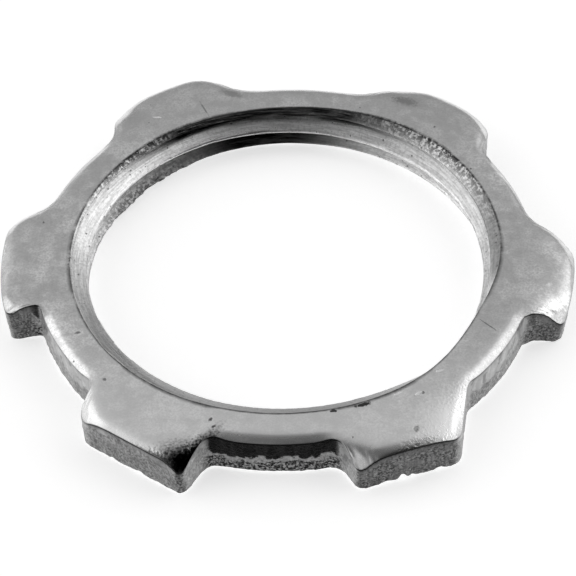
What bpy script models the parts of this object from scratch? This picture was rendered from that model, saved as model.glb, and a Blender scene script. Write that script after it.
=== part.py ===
"""Conduit locknut: a ring stamped from thick steel strip and then tapped.

The nut is one piece. A flat blank with six lugs is sheared from strip, which
rounds its upper edge, the lugs are bent down a little so that their tips bite,
the hole is tapped with a right-hand pipe thread, and both mouths of the hole
are eased. The nut lies on its lug tips with its axis along +Z and its origin
on the axis, in the plane that it rests on.
"""

from math import atan2, ceil, cos, pi, radians, sin, sqrt, tan

import bmesh
import bpy
from mathutils import Matrix, Vector

MM = 0.001

# Thread, for the end of a 1 1/4 inch conduit
THREADS_PER_INCH = 11.5
THREAD_MINOR_RADIUS = 19.8 * MM
THREAD_FLANK_ANGLE = radians(30)
# Width of the flat on each crest and in each root
THREAD_FLAT = 0.12 * MM
# Depth of a crest below the top face, on the +X side
THREAD_CREST_DEPTH = 2.65 * MM

# Easing of the two mouths of the hole, with the slopes measured from the faces
TOP_EASE_CLEARANCE = 0.2 * MM
TOP_EASE_SLOPE = radians(35)
BOTTOM_EASE_WIDTH = 0.8 * MM
BOTTOM_EASE_SLOPE = radians(45)

# Blank
THICKNESS = 4.4 * MM
RING_WALL = 3.5 * MM
# Rounding of the upper edge, which is wider than it is deep
EDGE_ROLL_WIDTH = 2.2 * MM
EDGE_ROLL_DEPTH = 0.7 * MM

# Lugs
LUG_HEIGHT = 3.4 * MM
LUG_WIDTH = 10.7 * MM
LUG_SIDE_LEAN = radians(22)
LUG_CORNER_RADIUS = 3 * MM
LUG_FILLET_RADIUS = 3.6 * MM
# How far round each lug stands from its even place
LUG_DRIFTS = (radians(-2.5), radians(-3.5), radians(1.5), radians(3.5), radians(1.5), 0)

# Bend at the foot of each lug
BEND_INSET = 0.8 * MM
BEND_LENGTH = 1.6 * MM
BEND_ANGLE = radians(4)

# Fineness of the curved faces
THREAD_STEPS = 96
ARC_STEP = radians(12)
RIM_STEP = radians(6)
ROLL_STEPS = 4
BEND_STEPS = 3
# Least angle between faces for an edge that is not shaded smooth, and most for one that is not kept
SHARP_ANGLE = radians(25)
FLAT_ANGLE = radians(0.5)
# Turns of the tap above and below the nut
SPARE_TURNS = 2

# Sizes that follow from the ones above
INCH = 25.4 * MM
PITCH = INCH / THREADS_PER_INCH
THREAD_HEIGHT = (PITCH / 2 - THREAD_FLAT) / tan(THREAD_FLANK_ANGLE)
THREAD_MAJOR_RADIUS = THREAD_MINOR_RADIUS + THREAD_HEIGHT
RIM_RADIUS = THREAD_MAJOR_RADIUS + RING_WALL
LUG_RADIUS = RIM_RADIUS + LUG_HEIGHT
BEND_START = RIM_RADIUS - BEND_INSET
BEND_RADIUS = BEND_LENGTH / BEND_ANGLE
LUG_STRAIGHT = LUG_RADIUS - BEND_START - BEND_LENGTH
LUG_DROP = BEND_RADIUS * (1 - cos(BEND_ANGLE)) + LUG_STRAIGHT * sin(BEND_ANGLE)
TOP = LUG_DROP + THICKNESS

MERGE = 0.001 * MM


def polar(radius, angle):
    """Point in plan at a radius and an angle."""
    return Vector((radius * cos(angle), radius * sin(angle)))


def arc(centre, radius, start, end, step):
    """Points along an arc in plan, with both ends."""
    count = max(1, ceil(abs(end - start) / step))
    return [centre + polar(radius, start + (end - start) * i / count) for i in range(count + 1)]


def tangent_circle(axis_distance, line_distance, normal):
    """Centre of a circle at a distance from the axis and from a lug's side line."""
    along = sqrt(max(axis_distance ** 2 - line_distance ** 2, 0))
    return normal * line_distance + Vector((normal.y, -normal.x)) * along


def lug_side():
    """One side of a lug that points along +X, from the middle of its tip to the rim.

    The side is a straight line. A circle inside the lug rounds it into the tip,
    and one outside the lug rounds it into the rim.
    """
    normal = Vector((sin(LUG_SIDE_LEAN), cos(LUG_SIDE_LEAN)))
    line_distance = normal.dot(Vector((LUG_RADIUS, LUG_WIDTH / 2)))
    corner = tangent_circle(LUG_RADIUS - LUG_CORNER_RADIUS, line_distance - LUG_CORNER_RADIUS, normal)
    fillet = tangent_circle(RIM_RADIUS + LUG_FILLET_RADIUS, line_distance + LUG_FILLET_RADIUS, normal)
    side_angle = atan2(normal.y, normal.x)
    tip_angle = atan2(corner.y, corner.x)
    foot_angle = atan2(fillet.y, fillet.x)
    points = arc(Vector((0, 0)), LUG_RADIUS, 0, tip_angle, RIM_STEP)
    points += arc(corner, LUG_CORNER_RADIUS, tip_angle, side_angle, ARC_STEP)[1:]
    points += arc(fillet, LUG_FILLET_RADIUS, side_angle - pi, foot_angle - pi, ARC_STEP)
    return points, foot_angle


def blank_outline():
    """Points round the blank in plan, anticlockwise."""
    side, foot_angle = lug_side()
    whole_lug = [Vector((p.x, -p.y)) for p in reversed(side[1:])] + side
    spacing = 2 * pi / len(LUG_DRIFTS)
    places = [i * spacing + drift for i, drift in enumerate(LUG_DRIFTS)]
    outline = []
    for i, place in enumerate(places):
        turn = Matrix.Rotation(place, 2)
        outline += [turn @ point for point in whole_lug]
        next_place = places[i + 1] if i + 1 < len(places) else places[0] + 2 * pi
        rim = arc(Vector((0, 0)), RIM_RADIUS, place + foot_angle, next_place - foot_angle, RIM_STEP)
        outline += rim[1:-1]
    return outline, places


def mesh_object(name, mesh, collection):
    """Object that shows a mesh, in a collection."""
    item = bpy.data.objects.new(name, mesh)
    collection.objects.link(item)
    return item


def evaluated_mesh(item):
    """Mesh of an object as its modifiers leave it."""
    bpy.context.view_layer.update()
    return bpy.data.meshes.new_from_object(item.evaluated_get(bpy.context.evaluated_depsgraph_get()))


def sheared_plate(outline, collection):
    """Flat plate with the blank's outline, from a filled curve."""
    curve = bpy.data.curves.new("blank_outline", "CURVE")
    curve.dimensions = "2D"
    curve.fill_mode = "BOTH"
    curve.extrude = THICKNESS / 2
    spline = curve.splines.new("POLY")
    spline.points.add(len(outline) - 1)
    for point, place in zip(spline.points, outline):
        point.co = (place.x, place.y, 0, 1)
    spline.use_cyclic_u = True
    item = mesh_object("blank_outline", curve, collection)
    mesh = evaluated_mesh(item)
    bpy.data.objects.remove(item)
    bpy.data.curves.remove(curve)
    return mesh


def round_upper_edge(plate):
    """Round the edge that the shear draws down, all round the upper face.

    The plate is stretched while its edge is rounded, so that the rounding ends up as an ellipse.
    """
    stretch = EDGE_ROLL_WIDTH / EDGE_ROLL_DEPTH
    bmesh.ops.scale(plate, verts=plate.verts, vec=(1, 1, stretch))
    upper = max(vertex.co.z for vertex in plate.verts)
    rim_edges = [
        edge for edge in plate.edges
        if all(abs(vertex.co.z - upper) < MERGE for vertex in edge.verts)
        and edge.calc_face_angle(0) > SHARP_ANGLE
    ]
    bmesh.ops.bevel(
        plate, geom=rim_edges, offset=EDGE_ROLL_WIDTH, offset_type="OFFSET", affect="EDGES",
        segments=ROLL_STEPS, profile=0.5, clamp_overlap=True,
    )
    bmesh.ops.scale(plate, verts=plate.verts, vec=(1, 1, 1 / stretch))


def bent_place(place):
    """Where the bend takes a point of a lug that points along +X.

    The length of the underside is kept: it winds on to an arc and then runs on straight.
    """
    reach = place.x - BEND_START
    if reach <= 0:
        return place
    angle = min(reach / BEND_LENGTH, 1) * BEND_ANGLE
    straight = max(reach - BEND_LENGTH, 0)
    radius = BEND_RADIUS + place.z
    x = BEND_START + radius * sin(angle) + straight * cos(angle)
    z = radius * cos(angle) - BEND_RADIUS - straight * sin(angle)
    return Vector((x, place.y, z))


def bend_lug(plate, lug_angle):
    """Cut the plate across the foot of a lug, where the bend needs edges, and bend it."""
    turn = Matrix.Rotation(lug_angle, 4, "Z")
    outward = turn @ Vector((1, 0, 0))
    for i in range(BEND_STEPS + 1):
        distance = BEND_START + BEND_LENGTH * i / BEND_STEPS
        near = [face for face in plate.faces if max(v.co.dot(outward) for v in face.verts) > BEND_START]
        geometry = set(near)
        for face in near:
            geometry.update(face.edges)
            geometry.update(face.verts)
        bmesh.ops.bisect_plane(plate, geom=list(geometry), plane_co=outward * distance, plane_no=outward)
    for vertex in plate.verts:
        vertex.co = turn @ bent_place(turn.inverted() @ vertex.co)


def blank(collection, cutters):
    """The sheared, rounded and bent blank, before its hole is made."""
    outline, lug_places = blank_outline()
    mesh = sheared_plate(outline, cutters)
    plate = bmesh.new()
    plate.from_mesh(mesh)
    bmesh.ops.remove_doubles(plate, verts=plate.verts, dist=MERGE)
    bmesh.ops.dissolve_limit(plate, angle_limit=FLAT_ANGLE, verts=plate.verts, edges=plate.edges)
    bmesh.ops.translate(plate, verts=plate.verts, vec=(0, 0, THICKNESS / 2))
    round_upper_edge(plate)
    for place in lug_places:
        bend_lug(plate, place)
    bmesh.ops.translate(plate, verts=plate.verts, vec=(0, 0, LUG_DROP))
    bmesh.ops.remove_doubles(plate, verts=plate.verts, dist=MERGE)
    bmesh.ops.recalc_face_normals(plate, faces=plate.faces)
    plate.to_mesh(mesh)
    plate.free()
    mesh.name = "locknut"
    return mesh_object("locknut", mesh, collection)


def profile_mesh(name, points):
    """Open line in the XZ plane through pairs of radius and height."""
    mesh = bpy.data.meshes.new(name)
    edges = [(i, i + 1) for i in range(len(points) - 1)]
    mesh.from_pydata([(radius, 0, height) for radius, height in points], edges, [])
    return mesh


def add_screw(item, rise, turns):
    """Turn an object's profile about Z, climbing by a rise in each turn."""
    screw = item.modifiers.new("turn", "SCREW")
    screw.axis = "Z"
    screw.angle = 2 * pi
    screw.screw_offset = rise
    screw.iterations = turns
    screw.steps = THREAD_STEPS
    screw.render_steps = THREAD_STEPS
    screw.use_merge_vertices = rise == 0
    screw.merge_threshold = MERGE
    screw.use_smooth_shade = False
    return screw


def close_ends(cutter):
    """Close each open end of a threaded cutter with a fan on its axis."""
    open_edges = [edge for edge in cutter.edges if edge.is_boundary]
    middle = sum(vertex.co.z for vertex in cutter.verts) / len(cutter.verts)
    for end in (-1, 1):
        ring = [edge for edge in open_edges if (edge.verts[0].co.z - middle) * end > 0]
        height = sum(edge.verts[0].co.z for edge in ring) / len(ring)
        grown = bmesh.ops.extrude_edge_only(cutter, edges=ring)["geom"]
        inner = [part for part in grown if isinstance(part, bmesh.types.BMVert)]
        bmesh.ops.pointmerge(cutter, verts=inner, merge_co=(0, 0, height))


def tap(cutters):
    """Solid of the tap that cuts the thread: one pitch of its profile, wound up the axis."""
    crest = THREAD_FLAT / 2
    root = (PITCH - THREAD_FLAT) / 2
    profile = [
        (THREAD_MINOR_RADIUS, PITCH),
        (THREAD_MINOR_RADIUS, PITCH - crest),
        (THREAD_MAJOR_RADIUS, PITCH - root),
        (THREAD_MAJOR_RADIUS, root),
        (THREAD_MINOR_RADIUS, crest),
        (THREAD_MINOR_RADIUS, 0),
    ]
    turns_below = ceil((TOP - THREAD_CREST_DEPTH) / PITCH) + SPARE_TURNS
    turns = turns_below + ceil(THREAD_CREST_DEPTH / PITCH) + SPARE_TURNS
    item = mesh_object("tap", profile_mesh("tap", profile), cutters)
    add_screw(item, PITCH, turns)
    mesh = evaluated_mesh(item)
    bpy.data.objects.remove(item)
    cutter = bmesh.new()
    cutter.from_mesh(mesh)
    bmesh.ops.remove_doubles(cutter, verts=cutter.verts, dist=MERGE)
    close_ends(cutter)
    bmesh.ops.recalc_face_normals(cutter, faces=cutter.faces)
    start = TOP - THREAD_CREST_DEPTH - turns_below * PITCH
    bmesh.ops.translate(cutter, verts=cutter.verts, vec=(0, 0, start))
    cutter.to_mesh(mesh)
    cutter.free()
    return mesh_object("tap", mesh, cutters)


def mouth_cutter(cutters):
    """Turned cutter that eases both mouths of the hole, with a waist that clears the thread."""
    reach = THREAD_HEIGHT
    top_radius = THREAD_MAJOR_RADIUS + TOP_EASE_CLEARANCE
    bottom_radius = THREAD_MINOR_RADIUS + BOTTOM_EASE_WIDTH
    waist = THREAD_MINOR_RADIUS - THREAD_HEIGHT
    profile = [
        (0, TOP + reach),
        (top_radius + reach / tan(TOP_EASE_SLOPE), TOP + reach),
        (waist, TOP - (top_radius - waist) * tan(TOP_EASE_SLOPE)),
        (waist, LUG_DROP + (bottom_radius - waist) * tan(BOTTOM_EASE_SLOPE)),
        (bottom_radius + reach / tan(BOTTOM_EASE_SLOPE), LUG_DROP - reach),
        (0, LUG_DROP - reach),
    ]
    item = mesh_object("mouth_cutter", profile_mesh("mouth_cutter", profile), cutters)
    add_screw(item, 0, 1)
    return item


def cut(item, cutter):
    """Take a cutter's shape out of an object."""
    boolean = item.modifiers.new(cutter.name, "BOOLEAN")
    boolean.operation = "DIFFERENCE"
    boolean.object = cutter
    cutter.hide_render = True
    cutter.display_type = "WIRE"


def zinc_plate():
    """Dull bright zinc on steel."""
    material = bpy.data.materials.new("zinc_plated_steel")
    material.use_nodes = True
    shader = material.node_tree.nodes["Principled BSDF"]
    shader.inputs["Base Color"].default_value = (0.55, 0.55, 0.56, 1)
    shader.inputs["Metallic"].default_value = 1
    shader.inputs["Roughness"].default_value = 0.38
    return material


def main():
    for item in list(bpy.data.objects):
        bpy.data.objects.remove(item)
    parts = bpy.data.collections.new("conduit_locknut")
    cutters = bpy.data.collections.new("cutters")
    for collection in (parts, cutters):
        bpy.context.scene.collection.children.link(collection)
    nut = blank(parts, cutters)
    cut(nut, tap(cutters))
    cut(nut, mouth_cutter(cutters))
    nut.data.materials.append(zinc_plate())
    nut.data.shade_smooth()
    nut.data.set_sharp_from_angle(angle=SHARP_ANGLE)


main()
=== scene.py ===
# %% [markdown]
# # A conduit locknut
# This nut clamps the end of a conduit in the knockout of a steel box. It is one piece:
# a ring sheared from thick strip, with six lugs that a screwdriver drives round. The
# lesson builds its worn, zinc plated surface over the plain solid that the CAD step
# made, in the same place and at the same size.

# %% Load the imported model
from math import ceil, cos, pi, radians, sin, sqrt, tan

import bpy
import numpy as np
from mathutils import Matrix, Vector


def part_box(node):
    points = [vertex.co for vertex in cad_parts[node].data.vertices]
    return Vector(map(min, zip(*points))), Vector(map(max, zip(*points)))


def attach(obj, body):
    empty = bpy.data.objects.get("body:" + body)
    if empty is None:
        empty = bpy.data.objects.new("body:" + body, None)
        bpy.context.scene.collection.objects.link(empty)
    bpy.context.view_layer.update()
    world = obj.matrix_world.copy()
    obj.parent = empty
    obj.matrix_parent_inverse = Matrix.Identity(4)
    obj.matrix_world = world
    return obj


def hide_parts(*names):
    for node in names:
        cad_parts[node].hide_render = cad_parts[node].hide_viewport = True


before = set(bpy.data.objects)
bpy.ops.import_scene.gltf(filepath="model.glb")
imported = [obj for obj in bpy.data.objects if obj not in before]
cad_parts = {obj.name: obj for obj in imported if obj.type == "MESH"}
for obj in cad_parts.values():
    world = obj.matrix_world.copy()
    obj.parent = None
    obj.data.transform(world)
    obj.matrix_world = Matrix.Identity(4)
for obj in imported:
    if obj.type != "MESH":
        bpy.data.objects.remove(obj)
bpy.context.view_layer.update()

low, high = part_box("locknut")
print("solid locknut, mm:", [round(1000 * (b - a), 2) for a, b in zip(low, high)])

# %% [markdown]
# ## Sizes
# Everything is worked out in millimetres and scaled once, when the mesh is made. Heights
# are measured from the underside of the ring, because the lugs bend down past it. The
# camera stands a few degrees round from the -Y side, so places that were read from the
# picture are turned by that angle too.

# %% Sizes of the nut
MM = 0.001
TURN = 2 * pi
THICKNESS = 4.4
LUG_DROP = high.z / MM - THICKNESS
RIM_RADIUS = 24.93
INCH = 25.4
THREADS_PER_INCH = 11.5
PITCH = INCH / THREADS_PER_INCH
CREST_FLAT = 0.12
FLANK_SLOPE = 1 / tan(radians(30))
MINOR_RADIUS = 19.8
MAJOR_RADIUS = MINOR_RADIUS + (PITCH / 2 - CREST_FLAT) * FLANK_SLOPE
CREST_DEPTH = 2.65
MOUTH_RADIUS = 21.65
MOUTH_SLOPE = tan(radians(35))
LOWER_MOUTH_RADIUS = 20.6
BEND_START = 24.2
BEND_LENGTH = 1.6
CAMERA_TURN = radians(5.4)


def near(angle, centre, width):
    """1 at one side of the nut, as the camera counts degrees, fading to 0 away from it."""
    apart = (angle - CAMERA_TURN - radians(centre) + pi) % TURN - pi
    return np.exp(-(apart / radians(width)) ** 2)


print("thread, mm across its crests and its roots:", 2 * MINOR_RADIUS, round(2 * MAJOR_RADIUS, 2))

# %% [markdown]
# ## One lug
# No two lugs are quite alike: the shear wears, and each lug is a little off its place.
# Each has its own height, half widths, leans, corners and bend. A side is a straight
# line, a circle inside the lug rounds it into the tip, and one outside rounds it into
# the rim. A freely drawn curve could look the same, but circles keep the sizes exact.

# %% Shape of each lug
LUGS = [
    # place and height, each side's half width, lean, corner, fillet and drop, bend and flatness
    (-3.1, 3.42, (4.90, 19.7, 2.9, 5.6, 0.45), (5.36, 6.0, 1.1, 2.3, 0.79), 6.9, 0.0),
    (-2.6, 3.31, (5.13, 16.1, 3.7, 7.2, 0.71), (5.68, 25.6, 3.1, 2.6, 0.33), 4.1, 0.25),
    (1.9, 3.40, (4.92, 29.0, 2.6, 3.7, 0.75), (5.19, 22.6, 2.6, 4.4, -0.06), 3.4, 0.42),
    (6.8, 3.16, (5.64, -5.6, 0.9, 0.6, -0.78), (6.46, 26.6, 2.5, 3.8, -0.24), 4.9, 0.0),
    (-1.8, 3.27, (8.33, -5.7, 0.9, 1.3, -0.07), (4.31, 10.8, 2.3, 1.3, 0.39), 1.1, 0.95),
    (-7.4, 3.21, (6.99, 32.9, 2.4, 2.5, -0.1), (2.43, 10.9, 1.1, 1.6, 0.43), 0.8, 1.2),
]
RIM_STEP = radians(1)
CORNER_STEP = radians(4)
SHRINK = 0.97


def arc(centre, radius, start, end, step):
    """Points along an arc, with both ends."""
    angles = np.linspace(start, end, max(1, ceil(abs(end - start) / step)) + 1)
    return np.c_[centre[0] + radius * np.cos(angles), centre[1] + radius * np.sin(angles)]


def lug_side(height, flatness, side):
    """One side of a lug along +X, from the middle of its tip to the rim."""
    half_width, lean, corner_radius, fillet_radius = side[:4]
    tip = RIM_RADIUS + height
    normal = np.array([sin(radians(lean)), cos(radians(lean))])
    along = np.array([normal[1], -normal[0]])
    reach = normal @ np.array([tip, half_width])

    # Circles too large for the side shrink together until a straight piece is left
    while True:
        corner_run = sqrt((tip - corner_radius) ** 2 - (reach - corner_radius) ** 2)
        fillet_run = sqrt((RIM_RADIUS + fillet_radius) ** 2 - (reach + fillet_radius) ** 2)
        if corner_run > fillet_run:
            break
        corner_radius, fillet_radius = SHRINK * corner_radius, SHRINK * fillet_radius
    corner = normal * (reach - corner_radius) + along * corner_run
    fillet = normal * (reach + fillet_radius) + along * fillet_run
    side_angle, tip_angle, foot_angle = (
        np.arctan2(p[1], p[0]) for p in (normal, corner, fillet)
    )
    points = np.vstack([
        arc((0, 0), tip, 0, tip_angle, RIM_STEP),
        arc(corner, corner_radius, tip_angle, side_angle, CORNER_STEP)[1:],
        arc(fillet, fillet_radius, side_angle - pi, foot_angle - pi, CORNER_STEP),
    ])
    rise = np.clip((np.hypot(*points.T) - RIM_RADIUS) / height, 0, 1)
    points[:, 0] += flatness * rise * (tip - np.sqrt(tip ** 2 - points[:, 1] ** 2))
    return points, foot_angle


sides = [[lug_side(lug[1], lug[5], side) for side in lug[2:4]] for lug in LUGS]
print("points along each lug:", [len(ahead[0]) + len(behind[0]) for ahead, behind in sides])

# %% [markdown]
# ## The outline
# The six lugs are turned to their places and joined by arcs of the rim. The points are
# then spread evenly along the whole outline, so that the columns of the mesh keep one
# width all the way round.

# %% Outline of the blank
COLUMNS = 1060


def turned(points, angle):
    """Points turned about the axis."""
    c, s = cos(angle), sin(angle)
    return points @ np.array([[c, s], [-s, c]])


places = [i * TURN / len(LUGS) + radians(lug[0]) for i, lug in enumerate(LUGS)]
stretches = []
for i, place in enumerate(places):
    (ahead, ahead_foot), (behind, _) = sides[i]
    stretches.append(turned(np.vstack([(behind * [1, -1])[::-1][:-1], ahead]), place))
    following = (i + 1) % len(LUGS)
    next_place = places[following] + (TURN if following == 0 else 0)
    rim_end = next_place - sides[following][1][1]
    stretches.append(arc((0, 0), RIM_RADIUS, place + ahead_foot, rim_end, RIM_STEP)[1:-1])
corners = np.vstack(stretches)
closed = np.vstack([corners, corners[:1]])
run = np.r_[0, np.cumsum(np.hypot(*np.diff(closed, axis=0).T))]
even = np.arange(COLUMNS) * run[-1] / COLUMNS
outline = np.c_[np.interp(even, run, closed[:, 0]), np.interp(even, run, closed[:, 1])]
column_angle = np.arctan2(outline[:, 1], outline[:, 0]) % TURN
column_radius = np.hypot(outline[:, 0], outline[:, 1])
print("outline, mm round:", round(run[-1], 1))
print("outline, mm across:", round(2 * column_radius.max(), 1))

# %% [markdown]
# ## The drawn-down edge
# A shear drags the upper edge of the strip down before it cuts, and it drags a corner
# down further than a straight edge or a hollow. One rule gives all three: count how much
# of a small disc round a point is metal. It is all metal well inside, half at a straight
# edge, less at a corner and more in a hollow, and the less there is, the lower the face.
# One corner, at the front right, is worn over a wider area, so it gets a larger disc.

# %% Height of the upper face
DRAW_DISC = 2.4
DRAW_DEPTH = 0.58
DRAW_POWER = 3.0
CORNER_REACH = 2.4
EDGE_BLUR = 0.35
WORN_CORNER = (18.0, -21.6)
WORN_REACH = 4.0
WORN_DISC = 4.2
WORN_POWER = 1.6
RING_STEP = 0.48
SPOKE_STEP = 0.15

order = np.argsort(column_angle)
ring_angle = np.r_[column_angle[order] - TURN, column_angle[order], column_angle[order] + TURN]
ring_radius = np.tile(column_radius[order], 3)


def outline_radius(angle):
    """Radius of the outline on one side of the nut."""
    return np.interp(angle % TURN, ring_angle, ring_radius)


def metal_share(x, y, disc):
    """Share of a small disc round each point that lies inside the outline."""
    rings, spokes = round(disc / RING_STEP), round(disc / SPOKE_STEP)
    inside = np.zeros_like(x)
    for ring in range(rings):
        radius = disc * sqrt((ring + 0.5) / rings)
        for angle in (np.arange(spokes) + ring % 2 / 2) * TURN / spokes:
            px, py = x + radius * cos(angle), y + radius * sin(angle)
            margin = outline_radius(np.arctan2(py, px)) - np.hypot(px, py)
            inside += np.clip(margin / EDGE_BLUR + 0.5, 0, 1)
    return inside / (rings * spokes)


def drawn_down(x, y, disc, power):
    """How far the edge is drawn down, with the full depth at a straight edge."""
    return DRAW_DEPTH * (2 - 2 * metal_share(x, y, disc)) ** power


def upper_height(x, y):
    """Height of the upper face, drawn down towards the outline and its lug corners."""
    drop = drawn_down(x, y, DRAW_DISC, DRAW_POWER)
    worn = drawn_down(x, y, WORN_DISC, WORN_POWER)
    apart = (x - WORN_CORNER[0]) ** 2 + (y - WORN_CORNER[1]) ** 2
    drop = drop + (worn - drop) * np.exp(-apart / WORN_REACH ** 2)
    for lug, place in zip(LUGS, places):
        for side, sign in zip(lug[2:4], (1, -1)):
            corner = turned(np.array([RIM_RADIUS + lug[1], sign * side[0]]), place)
            apart = (x - corner[0]) ** 2 + (y - corner[1]) ** 2
            drop = drop + side[4] * np.exp(-apart / CORNER_REACH ** 2)
    return THICKNESS - np.maximum(drop, 0)


rim_height = upper_height(outline[:, 0], outline[:, 1])
print("upper edge, mm high:", round(rim_height.min(), 2), "to", round(rim_height.max(), 2))

# %% [markdown]
# ## The tapped hole
# The hole has a 60 degree thread, and both mouths are eased by a cone. Metal is left only
# where neither the tap nor a cone has cut, so the wall's radius at each depth is the
# largest of the three. A thread could also be wound as a screw and cut out, as the CAD
# step did, but a formula lets the mouth be uneven and a piece of crest be broken out.

# %% Radius of the hole
MOUTH_CHANGES = [
    # place and reach to each side in degrees, and how many millimetres wider it is there
    (50, 35, 0.35), (332, 20, -0.9), (270, 30, -0.1), (92, 30, -0.35), (178, 35, -0.15),
]
BROKEN_PLACE, BROKEN_REACH = 327, 20
BROKEN_STRENGTH = 1.6
BROKEN_STEEPNESS = 0.85
BROKEN_DEPTH = 1.7
BROKEN_END_SLOPE = 5


def mouth_radius(angle):
    """Radius of the upper mouth, which the tool eased unevenly."""
    return MOUTH_RADIUS + sum(
        wider * near(angle, place, reach) for place, reach, wider in MOUTH_CHANGES
    )


def upper_cone(depth, angle):
    """Radius that the eased mouth leaves; it runs deeper where the first crest broke out."""
    broken = np.clip(BROKEN_STRENGTH * near(angle, BROKEN_PLACE, BROKEN_REACH), 0, 1)
    cone = mouth_radius(angle) - depth * (1 - BROKEN_STEEPNESS * broken) / MOUTH_SLOPE
    return cone - BROKEN_END_SLOPE * np.maximum(depth - BROKEN_DEPTH, 0)


def crest_offset(depth, angle):
    """Distance down from the nearest crest of the thread."""
    crest = CREST_DEPTH - PITCH * angle / TURN
    return (depth - crest + PITCH / 2) % PITCH - PITCH / 2


def bore_radius(depth, angle):
    """Radius of the hole's wall at a depth below the upper face."""
    thread = MINOR_RADIUS + np.clip(
        (np.abs(crest_offset(depth, angle)) - CREST_FLAT / 2) * FLANK_SLOPE,
        0, MAJOR_RADIUS - MINOR_RADIUS,
    )
    lower_cone = LOWER_MOUTH_RADIUS - (THICKNESS - depth)
    return np.maximum(thread, np.maximum(upper_cone(depth, angle), lower_cone))


print("upper mouth, mm across:", round(2 * mouth_radius(column_angle).mean(), 2))

# %% [markdown]
# ## Rows down the hole
# The rows of the mesh are spread evenly along the line of the wall at each column, and
# the nearest row is moved on to each sharp turn of it. Even rows alone would cut across
# the turns here and there, and the crests would look chewed.

# %% Rows down the hole
BORE_ROWS = 46
DEPTH_SAMPLES = 411
SHARP_TURN = 0.5

sample_depth = np.linspace(0, THICKNESS, DEPTH_SAMPLES)
bore_depth = np.empty((BORE_ROWS, COLUMNS))
for i, angle in enumerate(column_angle):
    radius = bore_radius(sample_depth, angle)
    slope = np.diff(radius)
    length = np.r_[0, np.cumsum(np.hypot(slope, np.diff(sample_depth)))]
    rows = np.linspace(0, length[-1], BORE_ROWS)
    spacing = rows[1]
    turns = np.flatnonzero(np.abs(np.diff(slope)) > SHARP_TURN * sample_depth[1]) + 1
    for turn in length[turns]:
        nearest = int(np.clip(round(turn / spacing), 1, BORE_ROWS - 2))
        rows[nearest] = turn
    bore_depth[:, i] = np.interp(rows, length, sample_depth)
bore_r = bore_radius(bore_depth, column_angle)
print("hole, mm across the crests:", round(2 * bore_r.min(), 2))

# %% [markdown]
# ## One skin
# Each column of the mesh runs round the section of the ring: down the hole, out along
# the underside, up the sheared wall and back over the upper face to the hole. It is one
# grid that closes on itself both ways, so the skin has no seam. Values that the finish
# needs later, such as how far down the wall a point is, are kept with the points.

# %% Rows of the section
UNDER_SHARES = (0.02, 0.2, 0.4, 0.6, 0.8, 0.95, 0.99)
WALL_ROWS = 18
UPPER_ROWS = 22
UPPER_CROWDING = 1.35
EDGE_LINE = 0.19
LOWER_LINE = 0.5

direction = np.c_[np.cos(column_angle), np.sin(column_angle)]
rows = []
fields = {name: [] for name in ("bore", "wall", "depth", "crest", "shear", "edge", "lower")}


def add_row(radius, height, **values):
    """Keep one row of points and what the finish needs to know about them."""
    radius = np.broadcast_to(radius, COLUMNS)
    height = np.broadcast_to(height, COLUMNS)
    rows.append(np.c_[direction * radius[:, None], height])
    for name, kept in fields.items():
        kept.append(np.broadcast_to(values.get(name, 0.0), COLUMNS))


for row in range(BORE_ROWS):
    depth = bore_depth[row]
    add_row(
        bore_r[row], THICKNESS - depth, bore=1, depth=depth,
        crest=np.abs(crest_offset(depth, column_angle)),
    )
for share in UNDER_SHARES:
    inset = (column_radius - bore_r[-1]) * (1 - share)
    add_row(column_radius - inset, 0, depth=THICKNESS, lower=np.exp(-inset / LOWER_LINE))
for row in range(WALL_ROWS):
    share = row / (WALL_ROWS - 1)
    add_row(
        column_radius, rim_height * share, wall=1, shear=1 - share,
        edge=np.exp(-rim_height * (1 - share) / EDGE_LINE),
        lower=np.exp(-rim_height * share / LOWER_LINE),
        depth=THICKNESS - rim_height * share,
    )
for row in range(1, UPPER_ROWS):
    inset = (row / UPPER_ROWS) ** UPPER_CROWDING
    radius = column_radius - (column_radius - bore_r[0]) * inset
    height = upper_height(direction[:, 0] * radius, direction[:, 1] * radius)
    edge = np.exp(-(column_radius - radius) / EDGE_LINE)
    add_row(radius, height, depth=THICKNESS - height, edge=edge)
skin = np.array(rows)
print("points in the skin:", skin.shape[0] * skin.shape[1])

# %% [markdown]
# ## Chips
# A few chips are broken up into the lower edge, mostly under the lug at the front right.
# Each one raises the points near one place, most at the edge and less further in.

# %% Chips
CHIPS = [
    # place and half width in degrees, and height in millimetres, of each chip
    (291.2, 0.75, 0.62), (293.0, 0.5, 0.25), (298.5, 0.7, 0.3), (287.8, 0.8, 0.22),
    (232.5, 0.6, 0.18), (239.0, 0.9, 0.22), (243.5, 0.5, 0.15), (336.0, 1.0, 0.2),
]

for centre, width, height in CHIPS:
    skin[..., 2] += height * near(column_angle, centre, width) * np.array(fields["lower"])
print("chips:", len(CHIPS))

# %% [markdown]
# ## The bent lugs
# Each lug is bent down at its foot so that its tip bites into the box. A point past the
# start of the bend winds on to an arc that keeps the length of the underside, and then
# runs on straight. Nothing may pass the plane that the nut rests on.

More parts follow.
